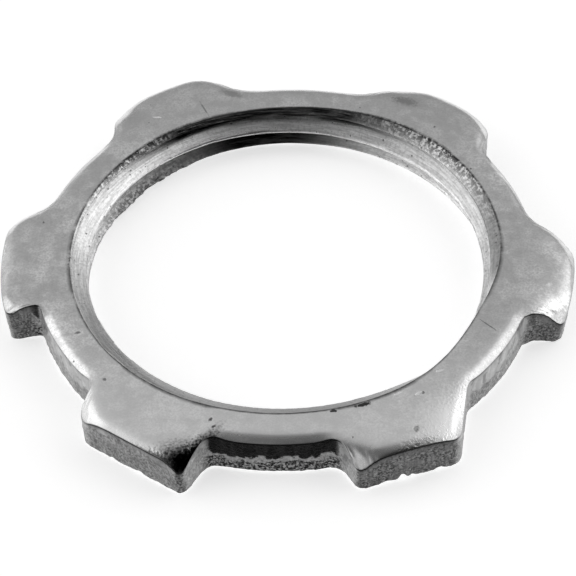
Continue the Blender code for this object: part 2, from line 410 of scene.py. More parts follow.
# %% Bend the lugs
for lug, place in zip(LUGS, places):
    bend = radians(lug[4])
    bend_radius = BEND_LENGTH / bend
    c, s = cos(place), sin(place)
    x = skin[..., 0] * c + skin[..., 1] * s
    y = skin[..., 1] * c - skin[..., 0] * s
    z = skin[..., 2]
    reach = x - BEND_START
    angle = np.clip(reach / BEND_LENGTH, 0, 1) * bend
    straight = np.maximum(reach - BEND_LENGTH, 0)
    bent_x = BEND_START + (bend_radius + z) * np.sin(angle) + straight * np.cos(angle)
    bent_z = (bend_radius + z) * np.cos(angle) - bend_radius - straight * np.sin(angle)
    x = np.where(reach > 0, bent_x, x)
    z = np.where(reach > 0, bent_z, z)
    skin = np.stack([x * c - y * s, x * s + y * c, z], axis=-1)
skin[..., 2] = np.maximum(skin[..., 2], -LUG_DROP)
print("skin, mm high:", round(skin[..., 2].max() - skin[..., 2].min(), 2))

# %% [markdown]
# ## Where the nut is torn and burred
# The tap tore the upper mouth on two sides and pushed a burr out of the lower mouth on
# one. Each is a share from 0 to 1 at every point of the skin, worked out from where the
# point is. Painting by hand would do, but a rule can be read and changed.

# %% Torn and burred mouths
# Each place has its angle and its reach to each side, in degrees, and its share
TORN_PLACES = [(42, 34, 0.9), (132, 22, 1.0)]
TORN_ALL_ROUND = 0.1
TORN_DEPTH = 1.05
BURR_PLACES = [(140, 24, 1.0)]
BURR_START, BURR_FULL = 3.0, 4.0

wear = {name: np.array(kept) for name, kept in fields.items()}
bore_share, wall_share, deep = wear["bore"], wear["wall"], wear["depth"]
every_angle = np.broadcast_to(column_angle, skin.shape[:2])


def around(places, strength=1.0):
    """Share near any of several places, each with its reach in degrees and strength."""
    total = sum(much * near(every_angle, place, reach) for place, reach, much in places)
    return np.clip(strength * total, 0, 1)


def beyond(value, start, width):
    """0 up to a start, and 1 from its width on."""
    return np.clip((value - start) / width, 0, 1)


torn_round = np.clip(TORN_ALL_ROUND + around(TORN_PLACES), 0, 1)
wear["tear"] = bore_share * np.clip(TORN_DEPTH - deep, 0, 1) * torn_round
burr_deep = beyond(deep, BURR_START, BURR_FULL - BURR_START)
wear["burr"] = bore_share * burr_deep * around(BURR_PLACES)
print("share of the hole that is torn:", round(wear["tear"].sum() / bore_share.sum(), 3))

# %% [markdown]
# ## Painted shade
# Painted shade follows the form too. On the outside it darkens the walls that face the
# camera, standing in for the dark room that they reflect. In the hole it lies mostly at the
# back, in the eased mouth and under the first crest that the mouth left whole, where the
# crest shades the flank.

# %% Painted shade
# Where the painted shade lies: camera-facing walls, the back of the mouth, the band under the
# first crest, and parts of the hole and its mouth
WALL_SHADE, WALL_SHADE_STRENGTH = (270, 32), 1.6
BACK_MOUTH, BACK_MOUTH_STRENGTH = [(95, 28, 1.0)], 2.2
LOWER_BAND = [(92, 22, 0.85), (112, 30, 0.35)]
MOUTH_SHADE = [(5, 22, 0.45), (287, 34, 0.4)]
HOLE_SHADE = [(250, 48, 0.5)]
CREST_CUT_ABOVE = 0.9
MOUTH_END_RADIUS = 19.9
FADE = 0.1

first_crest = np.minimum(CREST_DEPTH - PITCH * every_angle / TURN, THICKNESS)
first_crest = np.where(first_crest < CREST_CUT_ABOVE, first_crest + PITCH, first_crest)
under_crest = beyond(deep, first_crest, FADE)
mouth_end = (mouth_radius(every_angle) - MOUTH_END_RADIUS) * MOUTH_SLOPE
in_mouth = 1 - beyond(deep, mouth_end, FADE)
tangent = np.roll(outline, -1, axis=0) - np.roll(outline, 1, axis=0)
facing = np.arctan2(-tangent[:, 0], tangent[:, 1])
facing_camera = np.clip(WALL_SHADE_STRENGTH * near(facing, *WALL_SHADE), 0, 1)
# Painted shade: dark on walls facing the camera and in the hole, for dark reflections and the
# crest's shade
wear["grime"] = wall_share * facing_camera + bore_share * (
    under_crest * around(LOWER_BAND) + in_mouth * around(BACK_MOUTH, BACK_MOUTH_STRENGTH)
    + around(HOLE_SHADE) + in_mouth * around(MOUTH_SHADE)
)
print("share of the skin with grime:", round((wear["grime"] > 0.5).mean(), 3))

# %% [markdown]
# ## Mesh of the skin
# The grid of points becomes four-sided faces, each between two rows and two columns, and
# the last row joins the first. The kept values go with the points as attributes, which
# node trees can read.

# %% Mesh of the skin
row_count, column_count = skin.shape[:2]
index = np.arange(row_count * column_count).reshape(row_count, column_count)
next_row = np.roll(index, -1, axis=0)
next_both = np.roll(next_row, -1, axis=1)
next_column = np.roll(index, -1, axis=1)
quads = np.stack([index, next_column, next_both, next_row], axis=-1).reshape(-1, 4)
mesh = bpy.data.meshes.new("locknut_skin")
mesh.from_pydata((skin.reshape(-1, 3) + [0, 0, LUG_DROP]) * MM, [], quads.tolist())
for name, values in wear.items():
    mesh.attributes.new(name, "FLOAT", "POINT").data.foreach_set(
        "value", values.reshape(-1).astype(np.float32)
    )
locknut_skin = bpy.data.objects.new("locknut_skin", mesh)
bpy.context.scene.collection.objects.link(locknut_skin)
print("quads:", len(quads))

# %% [markdown]
# ## Wear as real shape
# A worn shear smears the top of the cut and tears the rest, and a worn tap leaves a torn
# mouth and a burr. They all follow the same rule, a share of the surface times a noise,
# so a node tree moves the points: it reads where each kind of wear is from the values
# kept with the mesh, and has an input for how far each one goes.

# %% Helpers for node trees
def add(tree, kind, inputs=None, **settings):
    """Add a node, set its options, and fill its inputs with values or links."""
    node = tree.nodes.new(kind)
    for name, value in settings.items():
        setattr(node, name, value)
    for name, value in (inputs or {}).items():
        if isinstance(value, bpy.types.NodeSocket):
            tree.links.new(value, node.inputs[name])
        else:
            node.inputs[name].default_value = value
    return node


def calc(tree, operation, *values):
    """One Math node."""
    node = add(tree, "ShaderNodeMath", dict(enumerate(values)), operation=operation)
    return node.outputs[0]


def vector_calc(tree, operation, *values, output="Vector"):
    """One Vector Math node."""
    node = add(tree, "ShaderNodeVectorMath", dict(enumerate(values)), operation=operation)
    return node.outputs[output]


def ease(tree, value, start, end, low=0.0, high=1.0):
    """Smooth step of a value from one level to another."""
    values = {"Value": value, "From Min": start, "From Max": end, "To Min": low, "To Max": high}
    return add(tree, "ShaderNodeMapRange", values, interpolation_type="SMOOTHSTEP").outputs[0]


def make_sockets(tree, inputs, outputs):
    """Give a node group its named inputs and outputs."""
    made = {}
    for label, kind, value in inputs:
        socket = tree.interface.new_socket(label, in_out="INPUT", socket_type="NodeSocket" + kind)
        if value is not None:
            socket.default_value = value
        made[label] = socket
    for label, kind in outputs:
        tree.interface.new_socket(label, in_out="OUTPUT", socket_type="NodeSocket" + kind)
    return made


# %% [markdown]
# ## The inputs of the wear
# One seed serves all the noise, and each kind of wear has an input for how far it goes.
# They are made from one table, which also fills in the modifier later, so a size is
# changed in one place only.

# %% Inputs of the wear
WEAR_VALUES = {
    "Seed": 4.0,
    "Waviness": 0.03 * MM,
    "Fracture Depth": 0.08 * MM,
    "Ragged Edge": 0.035 * MM,
    "Tear Depth": 0.07 * MM,
    "Burr Reach": 0.8 * MM,
}
worn = bpy.data.node_groups.new("worn_edges", "GeometryNodeTree")
worn_inputs = make_sockets(
    worn,
    [("Geometry", "Geometry", None), ("Material", "Material", None)]
    + [(label, "Float", value) for label, value in WEAR_VALUES.items()],
    [("Geometry", "Geometry")],
)
given = worn.nodes.new("NodeGroupInput").outputs
print("inputs of the wear:", ", ".join(worn_inputs))

# %% [markdown]
# ## How far the points move
# The sheared wall is smooth down to an uneven line and fractured below it. The fracture
# and the torn mouth push points in and out, the burr reaches into the hole, and the
# lower edge is raised in places, where the strip broke away. Sculpting would give the
# same forms once. Noise gives them all the way round.

# %% Amounts of wear
LUMP_ROUGHNESS = 0.6
FRACTURE_WAVE = 0.12
FRACTURE_START, FRACTURE_FULL = 0.38, 0.52
BURR_MEAN, BURR_CHANGE = 0.6, 0.5
RAGGED_SHIFT = 0.25


def attribute_value(name):
    """A value kept with the points of the mesh."""
    node = add(worn, "GeometryNodeInputNamedAttribute", {"Name": name}, data_type="FLOAT")
    return node.outputs["Attribute"]


def lumps(size, detail=3.0):
    """Noise from about -1 to 1 with lumps of about this size in millimetres."""
    node = add(
        worn, "ShaderNodeTexNoise",
        {"W": given["Seed"], "Scale": 1 / (size * MM), "Detail": detail,
         "Roughness": LUMP_ROUGHNESS},
        noise_dimensions="4D",
    )
    return calc(worn, "MULTIPLY_ADD", node.outputs[0], 4.0, -2.0)


def times(*values):
    """Product of several values."""
    product = values[0]
    for value in values[1:]:
        product = calc(worn, "MULTIPLY", product, value)
    return product


fracture_line = calc(
    worn, "MULTIPLY_ADD", lumps(size=3.0), FRACTURE_WAVE, attribute_value("shear")
)
fracture = ease(worn, fracture_line, FRACTURE_START, FRACTURE_FULL)
push = times(lumps(size=5.0, detail=1.0), given["Waviness"])
for amount in (
    times(fracture, lumps(size=0.55, detail=4.0), given["Fracture Depth"]),
    times(attribute_value("tear"), lumps(size=0.4, detail=4.0), given["Tear Depth"]),
):
    push = calc(worn, "ADD", push, amount)
burr_share = calc(
    worn, "MULTIPLY_ADD", lumps(size=1.4, detail=4.0), -BURR_CHANGE, -BURR_MEAN
)
burr_move = times(attribute_value("burr"), given["Burr Reach"], burr_share)
ragged_share = calc(worn, "ADD", lumps(size=2.2, detail=5.0), RAGGED_SHIFT)
ragged_move = times(
    attribute_value("lower"), given["Ragged Edge"], calc(worn, "MAXIMUM", ragged_share, 0.0)
)
print("nodes for the amounts:", len(worn.nodes))

# %% [markdown]
# ## Moving the points
# The moves are added up and made at once, each in its own direction. Points that end up
# below the resting plane are lifted back to it. The tree ends by realising instances and
# setting the material, so its result is a plain mesh.

# %% Move the points
def scaled(vector, amount):
    """A vector times an amount."""
    node = add(worn, "ShaderNodeVectorMath", {0: vector, "Scale": amount}, operation="SCALE")
    return node.outputs[0]


position = worn.nodes.new("GeometryNodeInputPosition").outputs[0]
normal = worn.nodes.new("GeometryNodeInputNormal").outputs[0]
outward = vector_calc(worn, "NORMALIZE", vector_calc(worn, "MULTIPLY", position, (1, 1, 0)))
raised = add(worn, "ShaderNodeCombineXYZ", {"Z": ragged_move}).outputs[0]
moves = scaled(normal, push)
for move in (scaled(outward, burr_move), raised):
    moves = vector_calc(worn, "ADD", moves, move)
moved = add(worn, "GeometryNodeSetPosition", {"Geometry": given["Geometry"], "Offset": moves})
after = add(worn, "ShaderNodeSeparateXYZ", {0: position}).outputs
resting = add(
    worn, "ShaderNodeCombineXYZ",
    {"X": after["X"], "Y": after["Y"], "Z": calc(worn, "MAXIMUM", after["Z"], 0.0)},
)
settled = add(
    worn, "GeometryNodeSetPosition",
    {"Geometry": moved.outputs[0], "Position": resting.outputs[0]},
)
realised = add(worn, "GeometryNodeRealizeInstances", {"Geometry": settled.outputs[0]})
finished = add(
    worn, "GeometryNodeSetMaterial",
    {"Geometry": realised.outputs[0], "Material": given["Material"]},
)
worn.links.new(finished.outputs[0], worn.nodes.new("NodeGroupOutput").inputs[0])
print("nodes in the whole tree:", len(worn.nodes))

# %% [markdown]
# ## Applying the wear
# The modifier's inputs are set by their identifiers, which stay right when labels change.
# The mesh that it makes takes the place of the plain one, and the modifier goes. The
# piece is then put under the root body's empty, and the plain solid is hidden.

# %% Apply the wear
zinc = bpy.data.materials.new("zinc_plated_steel")
modifier = locknut_skin.modifiers.new("worn_edges", "NODES")
modifier.node_group = worn
modifier[worn_inputs["Material"].identifier] = zinc
for label, value in WEAR_VALUES.items():
    modifier[worn_inputs[label].identifier] = value
evaluated = locknut_skin.evaluated_get(bpy.context.evaluated_depsgraph_get())
worn_mesh = bpy.data.meshes.new_from_object(evaluated)
locknut_skin.modifiers.remove(modifier)
locknut_skin.data = worn_mesh
worn_mesh.polygons.foreach_set("use_smooth", [True] * len(worn_mesh.polygons))
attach(locknut_skin, "root")
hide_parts("locknut")
print("worn skin, mm:", [round(side / MM, 2) for side in locknut_skin.dimensions])

# %% [markdown]
# ## Blotches
# Zinc on a sheared and tapped blank is never one even grey. Three small node groups give
# all its detail. Each puts out a mask, and is placed as often as it is needed. The first
# is a cloudy noise cut off at a level, for blotches, streaks and grain.

# %% Blotches
CLOUD_ROUGHNESS = 0.6


def make_group(name, inputs):
    """A shader node group that puts out a mask, with its inputs ready to use."""
    group = bpy.data.node_groups.new(name, "ShaderNodeTree")
    make_sockets(group, inputs, [("Mask", "Float")])
    given = group.nodes.new("NodeGroupInput").outputs
    mask = group.nodes.new("NodeGroupOutput").inputs["Mask"]
    return group, given, mask


blotches, blotch_inputs, mask = make_group("blotches", [
    ("Vector", "Vector", None), ("Size", "Float", MM), ("Detail", "Float", 3.0),
    ("Centre", "Float", 0.5), ("Softness", "Float", 0.1),
])
cloud = add(
    blotches, "ShaderNodeTexNoise",
    {"Vector": blotch_inputs["Vector"],
     "Scale": calc(blotches, "DIVIDE", 1.0, blotch_inputs["Size"]),
     "Detail": blotch_inputs["Detail"], "Roughness": CLOUD_ROUGHNESS},
).outputs[0]
start = calc(blotches, "SUBTRACT", blotch_inputs["Centre"], blotch_inputs["Softness"])
end = calc(blotches, "ADD", blotch_inputs["Centre"], blotch_inputs["Softness"])
blotches.links.new(ease(blotches, cloud, start, end), mask)
print("nodes in blotches:", len(blotches.nodes))

# %% [markdown]
# ## Specks
# Pits and grit are small round spots, thinly and unevenly spread. A texture of cells
# gives each cell a colour drawn by lot. The red says whether the cell has a speck, and
# the green how large it is.

# %% Specks
SMALLEST_SPECK = 0.4
SPECK_CORE = 0.5

specks, speck_inputs, mask = make_group("specks", [
    ("Vector", "Vector", None), ("Spacing", "Float", MM), ("Share", "Float", 0.3),
    ("Radius", "Float", 0.3),
])
cells = add(
    specks, "ShaderNodeTexVoronoi",
    {"Vector": speck_inputs["Vector"],
     "Scale": calc(specks, "DIVIDE", 1.0, speck_inputs["Spacing"])},
).outputs
lot = add(specks, "ShaderNodeSeparateColor", {"Color": cells["Color"]}).outputs
chosen = calc(specks, "LESS_THAN", lot["Red"], speck_inputs["Share"])
reach = calc(
    specks, "MULTIPLY", speck_inputs["Radius"], calc(specks, "ADD", lot["Green"], SMALLEST_SPECK)
)
inside = ease(specks, cells["Distance"], reach, calc(specks, "MULTIPLY", reach, SPECK_CORE))
specks.links.new(calc(specks, "MULTIPLY", chosen, inside), mask)
print("nodes in specks:", len(specks.nodes))

# %% [markdown]
# ## One nick
# A knock or a scratch is a small ellipse at one place, turned its own way, and noise
# makes its edge ragged. An image texture would need the nut to be unwrapped first. This
# works straight from the position.

# %% One nick
NICK_GRAIN = 0.25 * MM
NICK_RAGGED, NICK_SHIFT = 0.9, -0.55
NICK_EDGE = 0.4

nick, nick_inputs, mask = make_group("nick", [
    ("Vector", "Vector", None), ("Centre", "Vector", (0, 0, 0)), ("Turn", "Vector", (0, 0, 0)),
    ("Length", "Float", MM), ("Width", "Float", 0.2 * MM), ("Softness", "Float", 0.1),
])
own = add(
    nick, "ShaderNodeMapping",
    {"Vector": nick_inputs["Vector"], "Location": nick_inputs["Centre"],
     "Rotation": nick_inputs["Turn"]},
    vector_type="TEXTURE",
).outputs[0]
own = add(nick, "ShaderNodeSeparateXYZ", {0: own}).outputs
along = calc(nick, "DIVIDE", own["X"], nick_inputs["Length"])
across = calc(nick, "DIVIDE", own["Y"], nick_inputs["Width"])
away = calc(nick, "SQRT", calc(
    nick, "ADD", calc(nick, "MULTIPLY", along, along), calc(nick, "MULTIPLY", across, across)
))
ragged = add(
    nick, "ShaderNodeTexNoise",
    {"Vector": nick_inputs["Vector"], "Scale": 1 / NICK_GRAIN, "Detail": 2.0},
).outputs[0]
away = calc(nick, "ADD", away, calc(nick, "MULTIPLY_ADD", ragged, NICK_RAGGED, NICK_SHIFT))
start = calc(nick, "ADD", NICK_EDGE, nick_inputs["Softness"])
end = calc(nick, "SUBTRACT", NICK_EDGE, nick_inputs["Softness"])
nick.links.new(ease(nick, away, start, end), mask)
print("nodes in nick:", len(nick.nodes))

# %% [markdown]
# ## Worn zinc
# The finish is laid in coats. Each coat is a mask with a tone, a roughness and a height,
# and covers the coats before it where its mask is 1. The order follows the nut's life:
# the plated blank, the tapped hole, the sheared walls, the painted shade on them and in the
# hole, the dark lines and torn edges, and last the knocks of use with a few patches of
# painted shade and painted highlight. It is all one metal, so one shader is enough.

# %% Coats
zinc.use_nodes = True
zinc_tree = zinc.node_tree
place = add(zinc_tree, "ShaderNodeTexCoord").outputs["Object"]
spot = add(zinc_tree, "ShaderNodeSeparateXYZ", {0: place}).outputs
finish = {"tone": 0.97, "roughness": 0.32, "height": 0.0}


def kept(name):
    """A value kept with the mesh."""
    return add(zinc_tree, "ShaderNodeAttribute", attribute_name=name).outputs["Fac"]


def masked(group, **inputs):
    """The mask of a group with its own values."""
    values = {name.capitalize(): value for name, value in inputs.items()}
    values.setdefault("Vector", place)
    return add(zinc_tree, "ShaderNodeGroup", values, node_tree=group).outputs["Mask"]


def both(*masks):
    """Where all the masks are."""
    product = masks[0]
    for mask in masks[1:]:
        product = calc(zinc_tree, "MULTIPLY", product, mask)
    return product


def outside(mask):
    """Where the mask is not."""
    return calc(zinc_tree, "SUBTRACT", 1.0, mask)


def fade(value, start, end):
    """Mask that grows from 0 to 1 as a value goes from start to end."""
    return ease(zinc_tree, value, start, end)


def coat(mask, strength=1.0, **levels):
    """Lay one coat where the mask is."""
    if strength < 1:
        mask = both(mask, strength)
    for name, level in levels.items():
        finish[name] = add(
            zinc_tree, "ShaderNodeMix", {"Factor": mask, "A": finish[name], "B": level},
        ).outputs[0]


wall, bore, shear, depth = kept("wall"), kept("bore"), kept("shear"), kept("depth")
crest, tear, burr, grime = kept("crest"), kept("tear"), kept("burr"), kept("grime")
print("values kept with the skin:", ", ".join(wear))

# %% [markdown]
# ## The plated blank
# The plating has clouds several millimetres wide, smaller blotches in them and a fine
# grain. The drawn-down edge is smoother, because the shear burnished it. The face is
# painted lighter at the front and darker at the back, painted light that stands in for the
# room's reflection, and a few pits are dark and deep.

# %% Plated blank
ROLLED_START, ROLLED_FULL = 0.08, 0.4
PAINTED_LIGHT_START, PAINTED_LIGHT_FULL = -6 * MM, -24 * MM
PAINTED_DARK_START, PAINTED_DARK_FULL = 2 * MM, 24 * MM

face = both(outside(wall), outside(bore))
coat(masked(blotches, size=7 * MM, detail=2.0, softness=0.12), tone=0.7)
coat(
    masked(blotches, size=2.6 * MM, detail=6.0, softness=0.08),
    strength=0.75, tone=0.6, roughness=0.4,
)
coat(
    masked(blotches, size=1.0 * MM, centre=0.56, softness=0.08),
    strength=0.6, tone=0.96, roughness=0.3,
)
coat(masked(blotches, size=0.5 * MM, centre=0.56, softness=0.1), strength=0.5, tone=0.5)
coat(
    masked(blotches, size=0.2 * MM, detail=2.0, softness=0.16),
    strength=0.5, tone=0.5, roughness=0.38, height=-0.12,
)
coat(both(face, fade(depth, ROLLED_START, ROLLED_FULL)), roughness=0.2, height=0.0)
# Painted light: the face is painted lighter towards the front and darker towards the back
coat(both(face, fade(spot["Y"], PAINTED_LIGHT_START, PAINTED_LIGHT_FULL)), strength=0.45, tone=1.0)
coat(both(face, fade(spot["Y"], PAINTED_DARK_START, PAINTED_DARK_FULL)), strength=0.3, tone=0.5)
coat(masked(specks, spacing=1.3 * MM, share=0.12, radius=0.13), tone=0.25, height=-1.0)
print("nodes after the blank:", len(zinc_tree.nodes))

# %% [markdown]
# ## The tapped hole
# The tap leaves fine streaks that run with the thread. A noise gives them when it is
# stretched along the flanks, so it is read at a place made from the point's distance to
# the crest instead of its plain position.

# %% Finish of the hole
ALONG_THREAD = 0.08
ACROSS_THREAD = 3 * MM
DEEPER_STREAKS = 0.3

threadwise = add(
    zinc_tree, "ShaderNodeCombineXYZ",
    {"X": calc(zinc_tree, "MULTIPLY", spot["X"], ALONG_THREAD),
     "Y": calc(zinc_tree, "MULTIPLY", spot["Y"], ALONG_THREAD),
     "Z": calc(zinc_tree, "MULTIPLY", calc(
         zinc_tree, "MULTIPLY_ADD", depth, DEEPER_STREAKS, crest), ACROSS_THREAD)},
).outputs[0]
streaks = masked(blotches, vector=threadwise, size=0.2 * MM, detail=4.0, softness=0.12)
scuffs = masked(blotches, size=0.3 * MM, detail=5.0, centre=0.54, softness=0.08)
grit = masked(specks, spacing=0.5 * MM, share=0.35, radius=0.22)
coat(bore, tone=0.95, roughness=0.3, height=0.0)
coat(both(bore, streaks), strength=0.45, tone=0.38, height=-0.3)
coat(both(bore, scuffs), strength=0.35, tone=0.4, height=-0.5)
coat(both(bore, grit), tone=0.3, height=-1.0)
print("nodes after the hole:", len(zinc_tree.nodes))

# %% [markdown]
# ## The sheared walls
# A sheared wall has upright fibres at the top and crumbly fracture below. The line
# between them is uneven, and it lies higher on the lugs than on the ring, so that little
# of their walls keeps the fibres.

# %% Finish of the walls
LUG_START, LUG_FULL = 25.2 * MM, 26.2 * MM
LINE_WAVE = 0.15
LINE_RISE = 0.35
LINE_START, LINE_FULL = 0.54, 0.62
FIBRE_STRETCH = 0.15

upright = vector_calc(zinc_tree, "MULTIPLY", place, (1, 1, FIBRE_STRETCH))
fibres = masked(blotches, vector=upright, size=0.35 * MM, softness=0.2)
crumbs = masked(blotches, size=0.24 * MM, detail=5.0, softness=0.13)
shiny_spots = masked(blotches, size=0.9 * MM, detail=6.0, centre=0.56, softness=0.05)
hollows = masked(blotches, size=1.1 * MM, detail=6.0, centre=0.58, softness=0.04)
level_place = vector_calc(zinc_tree, "MULTIPLY", place, (1, 1, 0))
off_axis = vector_calc(zinc_tree, "LENGTH", level_place, output="Value")
on_lug = fade(off_axis, LUG_START, LUG_FULL)
line_noise = masked(blotches, size=1.2 * MM, detail=5.0)
torn_line = calc(zinc_tree, "MULTIPLY_ADD", line_noise, LINE_WAVE, shear)
torn_line = calc(zinc_tree, "MULTIPLY_ADD", on_lug, LINE_RISE, torn_line)
fractured = both(wall, fade(torn_line, LINE_START, LINE_FULL))
coat(wall, tone=0.55, roughness=0.42, height=0.0)
coat(both(wall, fibres), strength=0.8, tone=0.42)
coat(both(wall, shiny_spots), strength=0.35, tone=0.8)
coat(both(wall, hollows), strength=0.5, tone=0.12, height=-1.0)
coat(fractured, roughness=0.55)
coat(both(fractured, crumbs), strength=0.7, tone=0.24, height=-1.0)
print("nodes after the walls:", len(zinc_tree.nodes))

# %% [markdown]
# ## Painted shade on the walls
# The walls that face the camera are painted dark, painted shade for the dark room that they
# reflect. On the ring the fracture is painted black and crumbly, with a painted highlight
# along the torn line and a black polished band above it, which is a painted dark reflection.
# The lugs are smoother and greyer, with only patches of crumbs.

# %% Painted shade on the walls
CRUMBS_START, CRUMBS_FULL = 0.1, 0.5
LUG_PATCHES = 0.6
LUG_SMOOTH = 0.9
LUG_PALE = 0.85
LIP_HIGHLIGHT_START, LIP_HIGHLIGHT_FULL = 0.53, 0.6
LIP_HIGHLIGHT_END, LIP_HIGHLIGHT_FADE = 0.8, 0.66

shaded_wall = both(grime, wall)
patches = masked(blotches, size=1.5 * MM, detail=4.0, centre=0.47, softness=0.12)
smooth_lug = both(on_lug, outside(both(patches, LUG_PATCHES)), LUG_SMOOTH)
crumbly = outside(smooth_lug)
shaded_crumbs = both(shaded_wall, crumbs, fade(grime, CRUMBS_START, CRUMBS_FULL), crumbly)
lip_highlight = both(fade(torn_line, LIP_HIGHLIGHT_START, LIP_HIGHLIGHT_FULL), fade(torn_line, LIP_HIGHLIGHT_END, LIP_HIGHLIGHT_FADE))
painted_dark_band = both(shaded_wall, grime, grime, outside(fractured), outside(both(on_lug, LUG_PALE)))
# Painted shade on the walls that face the camera, nearly black in the fracture
coat(shaded_wall, strength=0.8, tone=0.17)
coat(shaded_crumbs, tone=0.05, height=-1.0)
coat(both(shaded_wall, fractured, outside(crumbs), crumbly), strength=0.5, tone=0.55)
coat(both(shaded_wall, fractured, crumbs, crumbly), tone=0.006)
# Painted highlight along the torn line on the ring
coat(both(shaded_wall, outside(on_lug), lip_highlight), strength=0.7, tone=0.4)
coat(both(shaded_wall, on_lug, fibres), strength=0.5, tone=0.08)
# Painted dark reflection: a black band above the torn line
coat(painted_dark_band, tone=0.001)
coat(both(painted_dark_band, fibres, fibres), strength=0.05, tone=0.25)
print("nodes after the grime:", len(zinc_tree.nodes))

# %% [markdown]
# ## Dark lines and torn edges
# Painted shade lies in the hole, streaked like the metal under it. A thin line of painted
# shade follows the upper edge, darkest at the front, and a dark line follows the mouth of
# the hole, worn away in places. The torn mouth and the burr are rough and nearly black.

# %% Painted shade, lines, torn mouth and burr
EDGE_SHADE_START, EDGE_SHADE_FULL = -0.25, 0.5
MOUTH_LINE_END, MOUTH_LINE_FULL = 0.11, 0.02
WORN_AWAY = 0.6

# Painted shade in the hole, with lighter streaks along the thread
shaded_hole = both(grime, bore)
shade_streaks = masked(blotches, vector=threadwise, size=0.25 * MM, centre=0.54)
# Painted shade: a thin dark line along the upper edge, darkest where the walls face the camera
edge_line = both(kept("edge"), fade(grime, EDGE_SHADE_START, EDGE_SHADE_FULL))
worn_away = both(masked(blotches, size=1.0 * MM, centre=0.54), WORN_AWAY)
mouth_line = both(bore, fade(depth, MOUTH_LINE_END, MOUTH_LINE_FULL), outside(worn_away))
torn = both(tear, masked(blotches, size=0.4 * MM, detail=6.0, centre=0.49, softness=0.07))
ragged_burr = both(burr, masked(blotches, size=0.35 * MM, detail=6.0, softness=0.07))
coat(shaded_hole, tone=0.008, roughness=0.35)
coat(both(shaded_hole, shade_streaks), strength=0.6, tone=0.28)
coat(edge_line, tone=0.004)
coat(mouth_line, strength=0.85, tone=0.07)
coat(torn, tone=0.04, roughness=0.5, height=-1.0)
coat(burr, strength=0.8, tone=0.22, roughness=0.45)
coat(ragged_burr, tone=0.03, roughness=0.5, height=-1.0)
print("nodes after the torn edges:", len(zinc_tree.nodes))

# %% [markdown]
# ## Marks of use and painted light
# Knocks and scratches sit where tools and boxes touched the nut, so each has its own
# place in a table. The broad dark ones are painted shade and painted dark reflection at the
# corner of the lug at the front left, and the broad pale one is a painted highlight on the
# corner at the front right. The sheared walls and everything low down are left out.

# %% Marks of use and painted light
MARKS_AND_PAINTED_LIGHT = [
    # x and y in millimetres, turn in degrees, length, width, tone and softness
    (-19.42, -11.83, 20, 0.5, 0.3, 0.3, 0.2), (-16.11, -17.85, 0, 0.4, 0.3, 0.3, 0.2),
    (-5.54, -22.56, 60, 0.45, 0.3, 0.15, 0.2), (-5.18, -23.41, 40, 0.5, 0.3, 0.15, 0.2),
    (13.84, -22.88, 80, 0.9, 0.5, 0.15, 0.1), (-14.7, 19.37, -5, 1.1, 0.25, 0.98, 0.1),
    (13.89, -18.49, 45, 0.8, 0.35, 0.98, 0.1), (15.89, -15.47, 30, 0.7, 0.3, 0.98, 0.1),
    (11.95, -18.6, 45, 0.7, 0.3, 0.98, 0.1), (20.37, -9.32, -42, 2.0, 0.13, 0.3, 0.2),
    (-9.9, 21.0, -62, 2.0, 0.2, 0.33, 0.2), (-7.13, 23.4, -20, 2.2, 0.9, 0.4, 0.3),
    (11.2, 22.9, -20, 2.6, 1.2, 0.35, 0.3), (8.75, -20.1, 23.5, 1.5, 0.45, 0.06, 0.1),
    # The last four entries are painted light: three broad patches of painted shade and dark
    # reflection at the front-left lug's corner, and one broad painted highlight at the
    # front-right lug
    (5.97, -21.0, 16, 0.7, 0.4, 0.08, 0.1), (-8.2, -27.4, 22, 4.8, 3.1, 0.001, 0.42),
    (-6.6, -25.8, 50, 4.8, 1.2, 0.001, 0.4), (-10.7, -26.8, -27, 4.0, 0.8, 0.1, 0.4),
    (17.0, -21.6, 62, 8.0, 5.2, 1.0, 0.35),
]
MARKED_START, MARKED_FULL = 2.2 * MM, 2.6 * MM

upper_part = fade(spot["Z"], MARKED_START, MARKED_FULL)
for x, y, turn, length, width, tone, softness in MARKS_AND_PAINTED_LIGHT:
    mark_or_light_patch = masked(
        nick, centre=(x * MM, y * MM, 0), turn=(0, 0, radians(turn)),
        length=length * MM, width=width * MM, softness=softness,
    )
    coat(both(mark_or_light_patch, outside(wall), upper_part), tone=tone, height=-1.0)
print("marks of use:", len(MARKS_AND_PAINTED_LIGHT))

# %% [markdown]
# ## The surface
# The tone and roughness go straight to the shader, and the heights go through a bump.
# Pits and crumbs are too small to be worth real shape, and a bump shades them as well.

# %% Join the finish to the surface
BUMP_DEPTH = 0.03 * MM

surface = zinc_tree.nodes["Principled BSDF"]
surface.inputs["Metallic"].default_value = 1.0
bump = add(
    zinc_tree, "ShaderNodeBump",
    {"Height": finish["height"], "Distance": BUMP_DEPTH, "Strength": 1.0},
).outputs[0]
zinc_tree.links.new(finish["tone"], surface.inputs["Base Color"])
zinc_tree.links.new(finish["roughness"], surface.inputs["Roughness"])
zinc_tree.links.new(bump, surface.inputs["Normal"])
print("nodes in the finish:", len(zinc_tree.nodes))

# %% [markdown]
# ## The floor
# The nut was photographed on white, with a soft shadow. The floor is matt, so that it
# takes the shadow, and glows a little for the camera and for reflections. From below it
# is clear, so that the underside can be looked at.

# %% Floor
FLOOR_RADIUS = 1.5
FLOOR_SIDES = 96
FLOOR_WHITE = (0.8, 0.8, 0.8, 1)
FLOOR_GLOW = 0.6

